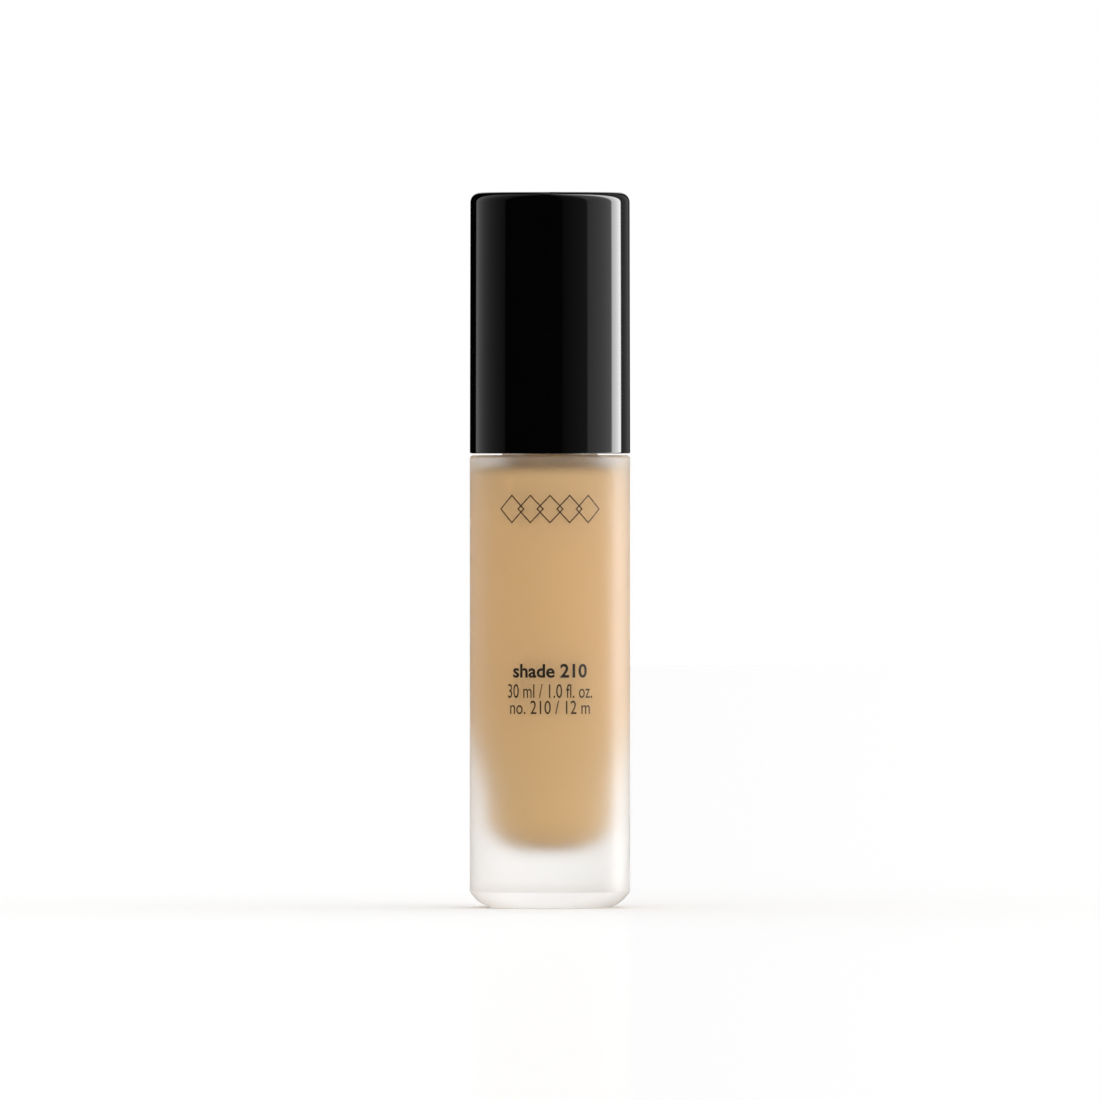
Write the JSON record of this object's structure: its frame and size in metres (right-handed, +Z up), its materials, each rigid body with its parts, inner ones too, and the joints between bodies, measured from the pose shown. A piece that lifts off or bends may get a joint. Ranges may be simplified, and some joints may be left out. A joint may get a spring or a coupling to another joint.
{
  "type": "foundation bottle",
  "caption": "Cylindrical frosted glass foundation bottle with a heavy base, a screw-on treatment pump and a tall gloss overcap.",
  "frame": {"origin": "centre of the base, on the surface that the bottle stands on", "axes": "+Z up along the bottle's axis; the pump's nozzle and the printed front face -Y"},
  "size_m": [0.031, 0.031, 0.1381],
  "materials": {
    "frosted_glass": "acid-frosted outside, clear inside",
    "foundation": "opaque tan fluid",
    "label_paper": "matt white film",
    "gasket_foam": "matt foam",
    "seal_rubber": "matt",
    "natural_plastic": "natural translucent moulding",
    "piston_plastic": "soft satin moulding",
    "spring_steel": "drawn stainless wire",
    "ball_steel": "polished",
    "black_satin_plastic": "satin moulding",
    "black_gloss_plastic": "high gloss"
  },
  "bodies": {
    "bottle": {"glass_bottle": "frosted_glass", "foundation_fluid": "foundation", "base_label": "label_paper"},
    "pump_unit": {"neck_gasket": "gasket_foam", "pump_housing": "natural_plastic", "chaplet": "natural_plastic", "stem_seal": "seal_rubber", "dip_tube": "natural_plastic", "return_spring": "spring_steel"},
    "collar": {"closure_ring": "black_satin_plastic", "collar_shell": "black_gloss_plastic"},
    "overcap": {"overcap_shell": "black_gloss_plastic", "overcap_liner": "black_satin_plastic"},
    "pump_stem": {"upper_stem": "natural_plastic", "lower_stem": "natural_plastic"},
    "pump_head": {"actuator_core": "black_satin_plastic", "actuator_shell": "black_gloss_plastic", "nozzle_tip": "black_satin_plastic"},
    "piston": {"pump_piston": "piston_plastic"},
    "valve_ball": {"inlet_ball": "ball_steel"}
  },
  "joints": [
    {"name": "pump_lift", "type": "slide", "parent": "bottle", "child": "pump_unit", "axis": [0, 0, 1], "range_m": [0, 0.00396]},
    {"name": "collar_turn", "type": "hinge", "parent": "pump_unit", "child": "collar", "pos_m": [0, 0, 0.1], "axis": [0, 0, 1], "range_deg": [0, 450]},
    {"name": "overcap_pull", "type": "slide", "parent": "collar", "child": "overcap", "axis": [0, 0, 1], "range_m": [0, 0.055]},
    {"name": "pump_press", "type": "slide", "parent": "pump_unit", "child": "pump_stem", "axis": [0, 0, -1], "range_m": [0, 0.0045], "stiffness_N_per_m": 800, "springref_m": -0.006, "deforming": ["return_spring"]},
    {"name": "head_swivel", "type": "hinge", "parent": "pump_stem", "child": "pump_head", "pos_m": [0, 0, 0.12], "axis": [0, 0, 1], "continuous": true},
    {"name": "piston_travel", "type": "slide", "parent": "pump_unit", "child": "piston", "axis": [0, 0, -1], "range_m": [0, 0.00405]},
    {"name": "inlet_ball_lift", "type": "slide", "parent": "pump_unit", "child": "valve_ball", "axis": [0, 0, 1], "range_m": [0, 0.0008]}
  ],
  "couplings": [
    {"joint": "collar_turn", "follows": "pump_lift", "rad_per_m": 1979},
    {"joint": "piston_travel", "follows": "pump_press", "ratio": 0.9}
  ]
}
